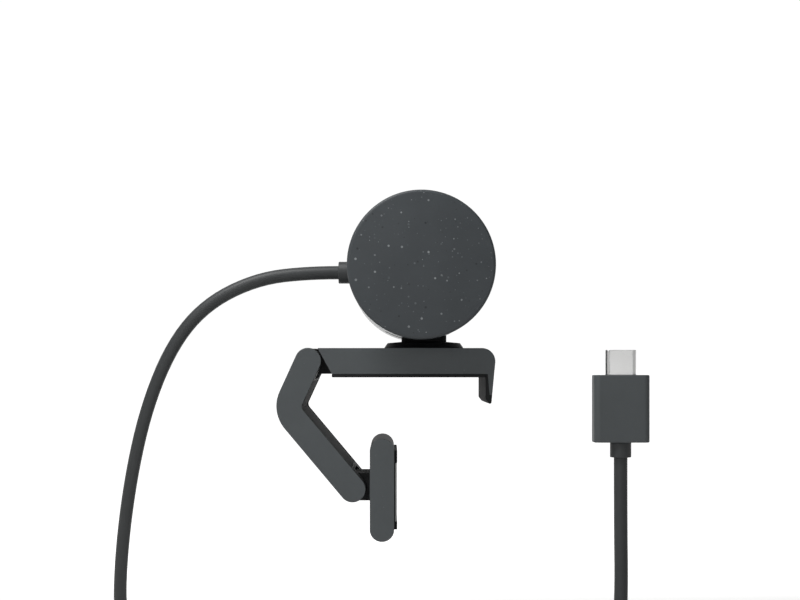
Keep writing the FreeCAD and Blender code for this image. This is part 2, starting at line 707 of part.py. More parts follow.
def make_optics():
    back, shoulder, seat_x = MOTOR[0] - 0.8, MOTOR[1] + 0.3, lens_front - 1.8
    keep(revolve("lens_barrel", "Y", "H_Axis", [
        (back, LENS_BORE), (back, lens_radius), (shoulder, lens_radius), (shoulder, lens_radius + 1.2),
        (lens_front, lens_radius + 0.8), (lens_front, lens_radius - 0.3), (seat_x, lens_radius - 0.7),
        (seat_x, LENS_BORE)]), HEAD)
    dome = lens_front - 0.5
    glass_radius = lens_radius - 0.75
    keep(revolve("lens_glass", "Y", "H_Axis", [
        (seat_x, 0), (seat_x, glass_radius), (seat_x + 0.6, glass_radius, 0.3), (dome, 1.2, 2.0),
        (dome, 0)]), HEAD)
    half = motor_side / 2
    coil_case = new_body("focus_motor")
    pad(coil_case, "X", MOTOR,
        [(-half, -half, 0.8), (half, -half, 0.8), (half, half, 0.8), (-half, half, 0.8)])
    pocket(coil_case, "X", (MOTOR[0] - 1, MOTOR[1] + 1), circles=[(0, 0, lens_radius + 0.08)])
    keep(coil_case, HEAD)
    holder = new_body("lens_bracket")
    pad(holder, "X", (wall_x + board_thick, MOTOR[0]), [
        (-half - 0.8, -half - 0.8, 1), (half + 0.8, -half - 0.8, 1),
        (half + 0.8, half + 0.8, 1), (-half - 0.8, half + 0.8, 1)])
    pocket(holder, "X", (-1, MOTOR[0] - 1.2), rectangle((-4.3, 4.3), (-3.7, 3.7)))
    pocket(holder, "X", (-1, MOTOR[0] + 1), circles=[(0, 0, lens_radius + 0.3)])
    keep(holder, HEAD)
    keep(block("image_sensor", (wall_x + board_thick, SENSOR_FRONT),
               both(3.4), both(2.8)), HEAD)
    keep(block("infrared_filter", (SENSOR_FRONT + 0.6, SENSOR_FRONT + 0.9),
               both(3.1), both(3.1)), HEAD)
    keep(block("sensor_board", (wall_x, wall_x + board_thick),
               both(8), both(7)), HEAD)


# --- chassis and boards ------------------------------------------------------

DISC_NEAR = (SHELL_START + spigot_length + 0.2, SHELL_START + spigot_length + 1.4)
DISC_FAR = (DIAL_SIDE - 3.9, DIAL_SIDE - 2.7)
WALL_BACK = wall_x - 1.2
POSTS = [(y, z) for y in (-17.0, 16.0) for z in (-6.5, 6.5)]
STALK_END = 13.5


def make_chassis():
    half = board_height / 2
    between = (DISC_NEAR[0], DISC_FAR[1])
    wall = block("chassis_wall", (WALL_BACK, wall_x), between, (-half, half))
    near = rod("chassis_near", "Y", BARREL_INSIDE - slip, DISC_NEAR)
    far = rod("chassis_far", "Y", disc_radius, DISC_FAR)
    posts = [rod(f"chassis_post_{n}", "X", 1.6, (board_x, wall_x), y, z)
             for n, (y, z) in enumerate(POSTS, 1)]
    stalks = [block(f"chassis_stalk_{n}", (wall_x - 0.5, STALK_END),
                    (y - 0.8, y + 0.8), both(0.8))
              for n, y in enumerate([LED_Y, *MICS], 1)]
    body = join("chassis_body", wall, near, far, *posts, *stalks)
    flex = block("chassis_flex_way", (-4, 0),
                 both(3), (4, 6))
    pilots = [rod(f"chassis_pilot_{n}", "X", SMALL_SHANK + run, (board_x - 1, board_x + 2.6), y, z)
              for n, (y, z) in enumerate(POSTS, 1)]
    axle = rod("chassis_axle_hole", "Y", AXLE + 0.02, (DISC_FAR[0] - 1, DISC_FAR[1] + 1))
    light = rod("chassis_near_hole", "Y", 9.0, (DISC_NEAR[0] - 1, DISC_NEAR[1] + 1))
    near_cut = cut("chassis_near_cut", light, wall_copy(half, between))
    keep(cut("chassis", body, flex, axle, near_cut, *pilots), HEAD)


def wall_copy(half, between):
    """The chassis wall again, kept clear of the near disc's hole."""
    return block("chassis_wall_keep", (WALL_BACK, wall_x), (between[0] - 2, between[1]), (-half, half))


def make_boards():
    half = board_height / 2
    back = board_x - board_thick
    board = block("board_sheet", (back, board_x), (DISC_NEAR[1], DISC_FAR[0]), (-half, half))
    holes = [rod(f"board_hole_{n}", "X", SMALL_SHANK + run, (back - 1, board_x + 1), y, z)
             for n, (y, z) in enumerate(POSTS, 1)]
    keep(cut("main_board", board, *holes), HEAD)
    screws = []
    for n, (y, z) in enumerate(POSTS, 1):
        shank = rod(f"board_shank_{n}", "X", SMALL_SHANK, (back - 0.1, board_x + 2.4), y, z)
        head = rod(f"board_head_{n}", "X", 1.3, (back - 0.8, back), y, z)
        screws.append(join(f"board_screw_{n}", shank, head))
    keep(group("board_screws", *screws), HEAD)
    can_x = (board_x, board_x + 1.6)
    can = block("can_outside", can_x, (4, 13.6), both(6))
    hollow = block("can_inside", (can_x[0] - 1, can_x[1] - 0.2),
                   (4.2, 13.4), both(5.8))
    keep(cut("shield_can", can, hollow), HEAD)
    keep(block("video_processor", (board_x, board_x + 1.0),
               (5.5, 12), both(3.5)), HEAD)
    keep(block("heat_spreader", (back - 1.2, back),
               (4.6, 13.4), both(8)), HEAD)
    strip = block("sensor_ribbon", (board_x, wall_x),
                  both(2.5), (5, 5.2))
    keep(strip, HEAD)
    socket = (back - 2.4, back)
    keep(block("lead_socket", socket, both(3), (cord_drop - 2, cord_drop + 2)), HEAD)
    keep(rod("inner_lead", "X", 1.4, (GLAND_INNER, socket[0]), 0, cord_drop), HEAD)
    microphones = [block(f"microphone_{n}", (STALK_END, STALK_END + 2),
                         (y - 1.0, y + 1.0), both(1.2))
                   for n, y in enumerate(MICS, 1)]
    keep(group("microphones", *microphones), HEAD)
    led = (STALK_END, STALK_END + 0.9)
    keep(block("status_led", led, (LED_Y - 0.8, LED_Y + 0.8), both(0.8)), HEAD)
    keep(rod("light_pipe", "X", 0.75, (led[1], barrel_radius - 0.05), LED_Y, 0), HEAD)


# --- folding arm and foot ----------------------------------------------------

def arm_point(where, side):
    """A point of the arm's band: start, elbow or end, and its distance to the outer side."""
    down_x, down_z = -sine(upper_lean), -cosine(upper_lean)
    back_x, back_z = sine(lower_lean), -cosine(lower_lean)
    elbow_x, elbow_z = arm_x + arm_upper * down_x, arm_z + arm_upper * down_z
    if where == "start":
        return (arm_x - down_x * HALF_BAND - cosine(upper_lean) * side,
                arm_z - down_z * HALF_BAND + sine(upper_lean) * side)
    if where == "elbow":
        middle = (lower_lean - upper_lean) / 2
        reach = side / cosine((lower_lean + upper_lean) / 2)
        return elbow_x - cosine(middle) * reach, elbow_z - sine(middle) * reach
    return (elbow_x + back_x * (arm_lower + HALF_BAND) - cosine(lower_lean) * side,
            elbow_z + back_z * (arm_lower + HALF_BAND) - sine(lower_lean) * side)


FOOT_PIVOT = (arm_x - arm_upper * sine(upper_lean) + arm_lower * sine(lower_lean),
              arm_z - arm_upper * cosine(upper_lean) - arm_lower * cosine(lower_lean))


# the liner's ends, from the pins
LINER_STOP = HALF_BAND + 0.75


def arm_band(outer, inner, end_round, elbow_out, elbow_in):
    """Outline of the bent band between two distances from its centre line."""
    return [(*arm_point("start", outer), end_round), (*arm_point("elbow", outer), elbow_out),
            (*arm_point("end", outer), end_round), (*arm_point("end", inner), end_round),
            (*arm_point("elbow", inner), elbow_in), (*arm_point("start", inner), end_round)]


def make_arm():
    body = new_body("arm_shell")
    pad(body, "Y", (-HALF_CLIP, HALF_CLIP),
        arm_band(HALF_BAND, -HALF_BAND, END_ROUND, elbow_outer, elbow_inner))
    reach = HALF_BAND + 1.2
    for (x, z), knuckle in (((arm_x, arm_z), knuckle_width), (FOOT_PIVOT, knuckle_foot)):
        fork = knuckle / 2 + slip
        pocket(body, "Y", (-fork, fork), rectangle((x - reach, x + reach), (z - reach, z + reach)))
    for x, z in ((arm_x, arm_z), FOOT_PIVOT):
        pocket(body, "Y", (-HALF_CLIP + 1.5, HALF_CLIP - 1.5), circles=[(x, z, pin_radius + 0.02)])
    half = liner_width / 2
    floor = liner_thick - HALF_BAND
    pocket(body, "Y", (-half - 0.02, half + 0.02), liner_outline(floor, -HALF_BAND - 1))
    keep(body)
    liner = new_body("arm_liner")
    pad(liner, "Y", (-half, half), liner_outline(floor - 0.02, 0.15 - HALF_BAND))
    keep(liner)
    for label, (x, z) in (("arm_pin", (arm_x, arm_z)), ("foot_pin", FOOT_PIVOT)):
        keep(rod(label, "Y", pin_radius, (-HALF_CLIP + 1.6, HALF_CLIP - 1.6), x, z))


def liner_outline(outer, inner):
    """The liner's strip, which stops short of both forks."""
    trim = HALF_BAND + LINER_STOP
    down_x, down_z = -sine(upper_lean), -cosine(upper_lean)
    back_x, back_z = sine(lower_lean), -cosine(lower_lean)
    corners = []
    for side in (outer, inner):
        x, z = arm_point("start", side)
        corners.append((x + down_x * trim, z + down_z * trim))
    for side in (inner, outer):
        if side is inner:
            corners.append(arm_point("elbow", side))
        x, z = arm_point("end", side)
        corners.append((x - back_x * trim, z - back_z * trim))
    corners.append(arm_point("elbow", outer))
    return corners


def make_foot():
    left, right = foot_x - foot_thick / 2, foot_x + foot_thick / 2
    low = foot_top - foot_height
    rounding = foot_thick / 2 - 0.05
    body = new_body("foot_shell")
    pad(body, "Y", (-HALF_CLIP, HALF_CLIP), [
        (left, foot_top, rounding), (left, low, rounding),
        (right, low, rounding), (right, foot_top, rounding)])
    middle = foot_top - foot_height / 2
    half = foot_pad_height / 2
    wide = HALF_CLIP - 1.5
    pocket(body, "X", (right - 1.2, right + 1), rectangle((-wide, wide), (middle - half, middle + half)))
    x, z = FOOT_PIVOT
    tenon = knuckle_height / 2 - 1.2
    pocket(body, "X", (left - 1, left + 1.6), rectangle((-5.0, 5.0), (z - tenon, z + tenon)))
    keep(body)
    knuckle = new_body("foot_knuckle")
    grip = knuckle_foot / 2
    high = knuckle_height / 2
    nose = x - HALF_BAND + 0.1
    pad(knuckle, "Y", (-grip, grip), [
        (nose, z - high, 3.2), (left, z - high), (left, z + high), (nose, z + high, 3.2)])
    pad(knuckle, "X", (left - 0.5, left + 1.5),
        rectangle((run - 5.0, 5.0 - run), (z - tenon + run, z + tenon - run)))
    pocket(knuckle, "Y", (-grip - 1, grip + 1), circles=[(x, z, pin_radius + run)])
    keep(knuckle)
    rubber = new_body("foot_pad")
    pad(rubber, "X", (right - 1.2, right + foot_pad_proud),
        rectangle((slip - wide, wide - slip), (middle - half + slip, middle + half - slip)))
    pocket(rubber, "X", (right + 0.3, right + 2), rectangle((-HALF_CLIP, HALF_CLIP),
                                                            (middle - half + 2.2, middle + half - 3.4)))
    keep(rubber)
    keep(block("pad_film", (right + 0.3, right + foot_pad_proud - 0.1), (slip - wide, wide - slip),
               (middle - half + 2.25, middle + half - 3.45)))


# --- lead --------------------------------------------------------------------

GLAND_INNER = -14.6


def make_gland():
    """Collar of the lead, drawn about its own axis."""
    end = -barrel_radius - gland_out
    keep(revolve("cable_gland", "Y", "H_Axis", [
        (end, 0), (end, gland_radius, 0.4), (-barrel_radius + 2.6, gland_radius),
        (-barrel_radius + 2.6, gland_radius + 1.2), (GLAND_INNER, gland_radius + 1.2), (GLAND_INNER, 0)]),
        (head_x, 0, head_z + cord_drop))


COLLAR_END = head_x.value - barrel_radius.value - gland_out.value
COLLAR_Z = head_z.value + cord_drop.value
PLUG_END = plug_z.value - collar_height.value
# the lead from the collar, over and down behind the clip, and to the coil
LEAD_ROUTE = [
    (COLLAR_END, 0.0, COLLAR_Z), (-27.0, 0.0, COLLAR_Z), (-40.8, 0.0, 26.8), (-54.2, 0.0, 20.4),
    (-63.6, 0.5, 10.0), (-71.2, 3.0, -6.6), (-76.7, 8.0, -26.9), (-80.8, 15.5, -50.0),
    (-82.7, 24.0, -70.5), (-78.5, 44.0, -82.8), (-60.0, 66.0, -83.3), (-33.0, 74.0, -83.25),
    (-9.0, 67.0, -82.8), (5.5, 50.5, -81.0), (10.0, 31.0, -77.5), (9.7, 11.8, -74.8)]
# the end that leaves the coil and stands up to the connector
TAIL_ROUTE = [
    (30.7, -13.2, -82.0), (41.6, -13.0, -81.9), (51.0, -11.9, -76.6), (56.2, -10.6, -67.2),
    (56.7, -10.1, -55.0), (plug_x.value, plug_y.value, -38.5), (plug_x.value, plug_y.value, PLUG_END)]


def tube_path(points, name):
    """Straight runs joined by tangent arcs, each as large as its runs allow."""
    points = [V(*point) for point in points]
    edges = []
    radii = []
    here = points[0]
    for before, corner, after in zip(points, points[1:], points[2:]):
        back = (before - corner).normalize()
        ahead = (after - corner).normalize()
        half_turn = (math.pi - back.getAngle(ahead)) / 2
        reach = 0.45 * min((before - corner).Length, (after - corner).Length)
        radius = reach / math.tan(half_turn)
        middle = corner + (back + ahead).normalize() * (radius / math.cos(half_turn))
        start = corner + back * reach
        end = corner + ahead * reach
        top = middle + (corner - middle).normalize() * radius
        edges.append(Part.LineSegment(here, start).toShape())
        edges.append(Part.Arc(start, top, end).toShape())
        radii.append(radius)
        here = end
    edges.append(Part.LineSegment(here, points[-1]).toShape())
    print(name, "arc radii, mm:", " ".join(f"{radius:.1f}" for radius in radii))
    return Part.Wire(edges)


def tube(label, points):
    path = tube_path(points, label)
    first = path.Edges[0]
    start = first.valueAt(first.FirstParameter)
    section = Part.Circle(start, first.tangentAt(first.FirstParameter), cord_radius.value)
    shape = path.makePipeShell([Part.Wire(section.toShape())], True, False)
    expected = math.pi * cord_radius.value ** 2 * path.Length
    print(label, "length, mm:", round(path.Length, 1), "volume ratio:", round(shape.Volume / expected, 4))
    made = doc.addObject("Part::Feature", label)
    made.Shape = shape
    keep(made)


def make_coil():
    low, high = coil_low, coil_low + coil_bundle
    outer = rod("coil_outer", "Z", coil_radius + coil_bundle / 2, (low, high), coil_x, coil_y)
    inner = rod("coil_inner", "Z", coil_radius - coil_bundle / 2, (low - 1, high + 1), coil_x, coil_y)
    keep(cut("cable_coil", outer, inner))
    half = coil_bundle / 2 + 0.4
    out = half + tie_thick
    middle = coil_radius
    band = block("tie_outside", (middle - out, middle + out), both(tie_width / 2), both(out))
    way = block("tie_inside", (middle - half, middle + half), both(tie_width / 2 + 1), both(half))
    strap = cut("cable_tie", band, way)
    turn = FreeCAD.Rotation(V(0, 0, 1), 40)
    seat(strap, (coil_x, coil_y, (low + high) / 2), turn)
    keep(strap)


CONTACT_PITCH = 0.5
CONTACT_Y = 0.26
# the shell and the tongue inside it start below the housing's top
SHELL_SEAT = 2.0
TONGUE_SEAT = 1.4


def make_plug():
    place = (plug_x, plug_y, 0)
    half_x, half_y = housing_width / 2, housing_thick / 2
    top = plug_z + housing_height
    housing = new_body("plug_housing")
    pad(housing, "Z", (plug_z, top), [
        (-half_x, -half_y, housing_round), (half_x, -half_y, housing_round),
        (half_x, half_y, housing_round), (-half_x, half_y, housing_round)])
    shell_x, shell_y = shell_width / 2, shell_thick / 2
    pocket(housing, "Z", (top - SHELL_SEAT, top + 1), stadium(shell_x + 0.02, shell_y + 0.02))
    keep(housing, place)
    tip = top + shell_length
    metal = new_body("plug_shell")
    pad(metal, "Z", (top - SHELL_SEAT, tip), stadium(shell_x, shell_y))
    pocket(metal, "Z", (top - TONGUE_SEAT, tip + 1), stadium(shell_x - shell_wall, shell_y - shell_wall))
    keep(metal, place)
    tongue = new_body("plug_insert")
    pad(tongue, "Z", (top - TONGUE_SEAT, tip - 0.5),
        stadium(shell_x - shell_wall - 0.02, shell_y - shell_wall - 0.02))
    pocket(tongue, "Z", (top + 0.6, tip),
           rectangle(both(3.2), both(0.42)))
    keep(tongue, place)
    contacts = []
    for number in range(12):
        for side in (-1, 1):
            x, y = CONTACT_PITCH * (number - 5.5), CONTACT_Y * side
            contacts.append(block(f"contact_{number}_{side}", (x - 0.1, x + 0.1), (y - 0.08, y + 0.08),
                                  (top + 0.6, tip - 1.6)))
    keep(group("plug_contacts", *contacts), place)
    keep(rod("plug_collar", "Z", collar_radius, (plug_z - collar_height, plug_z)), place)


def stadium(half_x, half_y):
    """A flat oblong; its ends are round but for a hair."""
    rounding = half_y - 0.02
    return [(-half_x, -half_y, rounding), (half_x, -half_y, rounding),
            (half_x, half_y, rounding), (-half_x, half_y, rounding)]


# --- build and write ---------------------------------------------------------

make_bar_shell()
make_bar_core()
make_bar_small_parts()
make_swivel()
make_neck()
make_shoe()
make_barrel_shell()
make_end_cap()
make_shutter()
make_front()
make_optics()
make_chassis()
make_boards()
make_arm()
make_foot()
make_gland()
tube("cable_lead", LEAD_ROUTE)
tube("cable_tail", TAIL_ROUTE)
make_coil()
make_plug()
doc.recompute()

for item in doc.Objects:
    if "Invalid" in item.State or "Error" in item.State:
        raise RuntimeError(f"{item.Label} did not compute: {item.State}")
for item in sub_parts:
    if item.Shape.isNull() or not item.Shape.isValid() or not item.Shape.Solids:
        raise RuntimeError(f"{item.Label} has no valid solid")

os.makedirs("parts", exist_ok=True)
for item in sub_parts:
    item.Shape.exportStep(f"parts/{item.Label}.step")
print(len(sub_parts), "sub-parts written")
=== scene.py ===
import math

import bpy
from mathutils import Matrix, Vector


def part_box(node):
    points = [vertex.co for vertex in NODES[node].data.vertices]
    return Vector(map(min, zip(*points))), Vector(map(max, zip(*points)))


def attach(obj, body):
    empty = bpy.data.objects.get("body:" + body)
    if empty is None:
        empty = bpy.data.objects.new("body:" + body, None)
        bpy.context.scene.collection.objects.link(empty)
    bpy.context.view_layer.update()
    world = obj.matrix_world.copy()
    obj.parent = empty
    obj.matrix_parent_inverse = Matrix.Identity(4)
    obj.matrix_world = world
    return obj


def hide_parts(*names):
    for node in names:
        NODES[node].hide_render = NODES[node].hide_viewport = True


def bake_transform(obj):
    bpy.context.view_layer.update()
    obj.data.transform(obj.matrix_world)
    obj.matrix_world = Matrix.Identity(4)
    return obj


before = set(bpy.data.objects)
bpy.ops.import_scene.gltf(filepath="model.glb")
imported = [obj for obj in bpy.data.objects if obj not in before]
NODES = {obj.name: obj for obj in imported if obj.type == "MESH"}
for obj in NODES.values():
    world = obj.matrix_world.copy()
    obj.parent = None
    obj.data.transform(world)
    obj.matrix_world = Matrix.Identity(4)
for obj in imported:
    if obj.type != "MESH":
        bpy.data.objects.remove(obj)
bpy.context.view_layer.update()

# A desk webcam: a barrel-shaped camera head on a folding clip that rests on a
# monitor, with a captive lead.  Lengths are in millimetres; metres() converts
# them where Blender needs them.  The lens looks along +X and the barrel lies along Y.
MM = 0.001
PER_METRE = 1000


def metres(*lengths):
    return Vector([length * MM for length in lengths])


def millimetres(node):
    """Lowest and highest corner of a CAD node."""
    low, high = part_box(node)
    return low / MM, high / MM


# --- camera ------------------------------------------------------------------

VIEW_POINT = (-4.9, -436.0, 3.25)
lens_view = bpy.data.cameras.new("side_view")
lens_view.lens = 72
lens_view.sensor_width = 36
lens_view.shift_x = 0.0125
lens_view.shift_y = 0.08125
lens_view.clip_start = 0.01
lens_view.clip_end = 100
camera = bpy.data.objects.new("side_view", lens_view)
camera.location = metres(*VIEW_POINT)
camera.rotation_euler = (math.radians(90), 0, 0)
bpy.context.scene.collection.objects.link(camera)
bpy.context.scene.camera = camera
bpy.context.scene.view_settings.view_transform = "Standard"


# --- finishes ----------------------------------------------------------------

def shade(red, green, blue):
    """A colour as a painter's chart gives it, from 0 to 255, made linear."""
    parts = [part / 255 for part in (red, green, blue)]
    linear = [((part + 0.055) / 1.055) ** 2.4 if part > 0.04 else part / 12.92 for part in parts]
    return (*linear, 1)


class Value:
    """A value that changes over a surface, with ordinary arithmetic."""

    def __init__(self, mixture, socket):
        self.mixture = mixture
        self.socket = socket

    def other(self, output):
        """Another output of the same node."""
        return Value(self.mixture, self.socket.node.outputs[output])

    def combine(self, operation, first, second=0.0):
        return self.mixture.add("ShaderNodeMath", {"operation": operation}, {0: first, 1: second})

    def __add__(self, other):
        return self.combine("ADD", self, other)

    __radd__ = __add__

    def __sub__(self, other):
        return self.combine("SUBTRACT", self, other)

    def __rsub__(self, other):
        return self.combine("SUBTRACT", other, self)

    def __mul__(self, other):
        return self.combine("MULTIPLY", self, other)

    __rmul__ = __mul__

    def __pow__(self, other):
        return self.combine("POWER", self, other)

    def most(self, other):
        """The greater of two values."""
        return self.combine("MAXIMUM", self, other)

    def wave(self):
        return self.combine("SINE", self)

    def between(self, low, high):
        """0 at low, 1 at high, and a smooth step from one to the other."""
        return self.mixture.add("ShaderNodeMapRange", {"interpolation_type": "SMOOTHSTEP"},
                                {"Value": self, "From Min": low, "From Max": high})


class Mixture:
    """A node tree being put together."""

    def __init__(self, tree):
        self.tree = tree

    def add(self, kind, settings=None, inputs=None, output=0):
        """A node with its settings, and then with the values or links of its inputs."""
        node = self.tree.nodes.new(kind)
        for name, value in (settings or {}).items():
            setattr(node, name, value)
        for name, value in (inputs or {}).items():
            self.feed(node.inputs[name], value)
        return Value(self, node.outputs[output])

    def feed(self, socket, value):
        if isinstance(value, Value):
            self.tree.links.new(value.socket, socket)
        else:
            socket.default_value = value

    def mix(self, share, first, second):
        """From the first colour to the second, by a share from 0 to 1."""
        return self.add("ShaderNodeMix", {"data_type": "RGBA"}, {0: share, 6: first, 7: second}, output=2)


class Finish(Mixture):
    """A surface finish: one shader, and what varies it over the piece."""

    def __init__(self, name, uniform):
        self.material = bpy.data.materials.new(name)
        self.material.use_nodes = True
        super().__init__(self.material.node_tree)
        self.shader = self.tree.nodes["Principled BSDF"]
        self.output = self.tree.nodes["Material Output"]
        self.normal = None
        self.place = self.add("ShaderNodeTexCoord", output="Object")
        self.set(uniform)

    def set(self, sockets):
        for name, value in sockets.items():
            self.feed(self.shader.inputs[name], value)

    def stretched(self, along_x, along_y, along_z):
        """The place on the piece with each axis stretched, for brushed or drawn marks."""
        scale = (along_x, along_y, along_z)
        return self.add("ShaderNodeMapping", {}, {"Vector": self.place, "Scale": scale})

    def axis(self, name):
        """Distance along one axis, in millimetres."""
        return self.add("ShaderNodeSeparateXYZ", {}, {"Vector": self.place}, name) * PER_METRE

    def noise(self, grain, detail=2.0, place=None):
        """Soft noise whose patches are about one grain across."""
        inputs = {"Vector": place or self.place, "Scale": PER_METRE / grain, "Detail": detail}
        return self.add("ShaderNodeTexNoise", {}, inputs, "Fac")

    def cells(self, size):
        """Scattered points about one size apart: the distance to the nearest."""
        inputs = {"Vector": self.place, "Scale": PER_METRE / size}
        return self.add("ShaderNodeTexVoronoi", {}, inputs, "Distance")

    def luck(self, cells, part="Red"):
        """A random number for each scattered point."""
        return self.add("ShaderNodeSeparateColor", {}, {"Color": cells.other("Color")}, part)

    def bump(self, height, depth):
        """Raises the surface by a height from 0 to 1 times a depth; bumps add up."""
        inputs = {"Height": height, "Distance": depth * MM}
        if self.normal:
            inputs["Normal"] = self.normal
        self.normal = self.add("ShaderNodeBump", {}, inputs, "Normal")
        self.set({"Normal": self.normal})

    def grained(self, colour, spread, rough, rough_spread, grain, depth):
        """A moulded or drawn surface: cloudy colour, uneven gloss and a fine grain.

        Spreads are shares of the colour and of the roughness; the grain's size and depth are lengths."""
        cloud = self.noise(9.0, 3.0)
        fine = self.noise(grain, 3.0)
        light = tuple(min(1.0, part * (1 + spread)) for part in colour[:3]) + (1,)
        dark = tuple(part * (1 - spread) for part in colour[:3]) + (1,)
        tone = self.mix(cloud.between(0.3, 0.7), dark, light)
        self.set({"Base Color": tone, "Roughness": rough + (cloud + fine - 1) * rough_spread})
        self.bump(fine, depth)
        return tone


def specks(finish, size, least, most, bare):
    """Chips of other plastic: a mask of small round dots, a different size in each cell.

    The radii run from least to most, as shares of a cell, and a share of the cells stays bare.
    Also gives a random number for each dot, to choose its colour."""
    cells = finish.cells(size)
    luck = finish.luck(cells)
    radius = least + (most - least) * luck ** 2
    dots = cells.between(radius * 1.15, radius * 0.8)
    present = finish.luck(cells, "Green").between(bare, bare + 0.02)
    return dots * present, finish.luck(cells, "Blue")


def slate_with_specks():
    """Dark plastic with pale chips of two sizes and a few dark ones."""
    finish = Finish("slate_with_specks", {"Specular IOR Level": 0.3})
    tone = finish.grained(shade(63, 67, 70), 0.04, 0.5, 0.06, 0.22, 0.012)
    for size, least, most, bare, low, high in (
            (1.7, 0.07, 0.2, 0.0, shade(70, 74, 77), shade(132, 136, 138)),
            (1.25, 0.07, 0.16, 0.1, shade(66, 70, 73), shade(104, 108, 110)),
            (2.2, 0.05, 0.15, 0.5, shade(44, 47, 49), shade(58, 61, 63))):
        dots, luck = specks(finish, size, least, most, bare)
        tone = finish.mix(dots, tone, finish.mix(luck, low, high))
    finish.set({"Base Color": tone})
    return finish.material


def graphite_moulding(name, gloss):
    """Mid-grey plastic; gloss is the weight of its clear top layer."""
    finish = Finish(name, {"Specular IOR Level": 0.35, "Coat Weight": gloss, "Coat Roughness": 0.16})
    tone = finish.grained(shade(76, 80, 82), 0.03, 0.55, 0.06, 0.2, 0.012)
    dots, luck = specks(finish, 2.1, 0.03, 0.1, 0.6)
    chips = finish.mix(luck, shade(94, 98, 100), shade(112, 115, 117))
    finish.set({"Base Color": finish.mix(dots * 0.3, tone, chips)})
    return finish.material


def black_moulding():
    """Dark plastic of the neck, and painted shade on the upper sides of the foot and the hollow side of
    the arm.
    """
    finish = Finish("black_moulding", {"Specular IOR Level": 0.15})
    finish.grained(shade(34, 35, 36), 0.08, 0.6, 0.1, 0.18, 0.015)
    return finish.material


def gloss_ring():
    """Polished plastic round the lens."""
    finish = Finish("gloss_ring", {"Coat Weight": 0.6, "Coat Roughness": 0.05})
    finish.grained(shade(22, 22, 23), 0.05, 0.2, 0.06, 2.5, 0.001)
    return finish.material


def soft_rubber():
    """Matt rubber of the pads, and painted shade on the upper side of the foot's hinge."""
    finish = Finish("soft_rubber", {"Specular IOR Level": 0.12})
    finish.grained(shade(34, 35, 36), 0.12, 0.78, 0.1, 0.3, 0.03)
    return finish.material


def lead_jacket():
    """Matt plastic round the lead."""
    finish = Finish("lead_jacket", {"Specular IOR Level": 0.35})
    finish.grained(shade(56, 58, 59), 0.05, 0.5, 0.08, 0.25, 0.012)
    return finish.material


def metal(name, colour, rough, marks):
    """Brushed metal, with marks that run along Y."""
    finish = Finish(name, {"Metallic": 1.0})
    finish.grained(colour, 0.04, rough, 0.08, 0.6, 0.002)
    brushed = finish.noise(0.12, 2.0, finish.stretched(1, 0.06, 1))
    finish.bump(brushed, marks)
    return finish.material


def bright_plating():
    """Nickel plate with marks that run along Z, as on the connector's shell."""
    finish = Finish("bright_plating", {"Metallic": 1.0})
    finish.grained(shade(238, 238, 237), 0.02, 0.26, 0.05, 0.5, 0.001)
    finish.bump(finish.noise(0.1, 2.0, finish.stretched(1, 1, 0.05)), 0.001)
    return finish.material


def dark_window():
    """Tinted glass with a black band printed round its clear middle."""
    clear_radius = 7.0
    finish = Finish("dark_window", {"Transmission Weight": 1.0, "IOR": 1.5})
    smear = finish.noise(6.0, 3.0)
    finish.set({"Base Color": shade(176, 180, 190), "Roughness": 0.02 + smear * 0.03})
    low, high = millimetres("front_window")
    middle = (low + high) / 2
    out = ((finish.axis("Y") - middle.y) ** 2 + (finish.axis("Z") - middle.z) ** 2) ** 0.5
    band = finish.add("ShaderNodeBsdfPrincipled", {}, {
        "Base Color": shade(14, 14, 16), "Roughness": 0.06 + smear * 0.05,
        "Coat Weight": 0.5, "Coat Roughness": 0.03})
    clear = out.between(clear_radius + 0.1, clear_radius)
    both = finish.add("ShaderNodeMixShader", {}, {
        0: clear, 1: band, 2: Value(finish, finish.shader.outputs[0])})
    finish.feed(finish.output.inputs["Surface"], both)
    return finish.material


def glass(name, tint, film):
    """Coated glass; film is the coating's thickness in nanometres."""
    finish = Finish(name, {"Transmission Weight": 1.0, "IOR": 1.6, "Thin Film Thickness": film,
                           "Thin Film IOR": 1.38})
    smear = finish.noise(1.5, 2.0)
    finish.set({"Base Color": finish.mix(smear, tint, shade(225, 222, 240)),
                "Roughness": 0.01 + smear * 0.02})
    finish.bump(smear, 0.0005)
    return finish.material


def stripes(value, pitch, share):
    """Bands across a distance: 1 in a share of each pitch, else 0."""
    turn = (value * (2 * math.pi / pitch)).wave()
    edge = math.cos(math.pi * share)
    return turn.between(edge - 0.12, edge + 0.12)


def solder_mask():
    """Board with tracks under the mask and gilt lands."""
    finish = Finish("solder_mask", {"Coat Weight": 0.3, "Coat Roughness": 0.2})
    across, up = finish.axis("Y"), finish.axis("Z")
    wander = finish.noise(5.0, 1.0) * 5
    tracks = (stripes(up + wander, 0.9, 0.35) * stripes(across, 7.0, 0.7)).most(
        stripes(across + wander, 1.1, 0.3) * stripes(up, 5.0, 0.4))
    tone = finish.mix(tracks, shade(10, 44, 36), shade(22, 78, 58))
    lands = stripes(up, 2.2, 0.22) * stripes(across, 1.6, 0.3) * finish.noise(3.0).between(0.56, 0.58)
    tone = finish.mix(lands, tone, shade(205, 170, 92))
    finish.set({"Base Color": tone, "Metallic": lands, "Roughness": 0.42 - lands * 0.12})
    finish.bump(tracks, 0.03)
    return finish.material


def epoxy_black():
    """Moulded package of a chip."""
    finish = Finish("epoxy_black", {"Specular IOR Level": 0.4})
    finish.grained(shade(44, 45, 47), 0.1, 0.6, 0.12, 0.15, 0.02)
    return finish.material


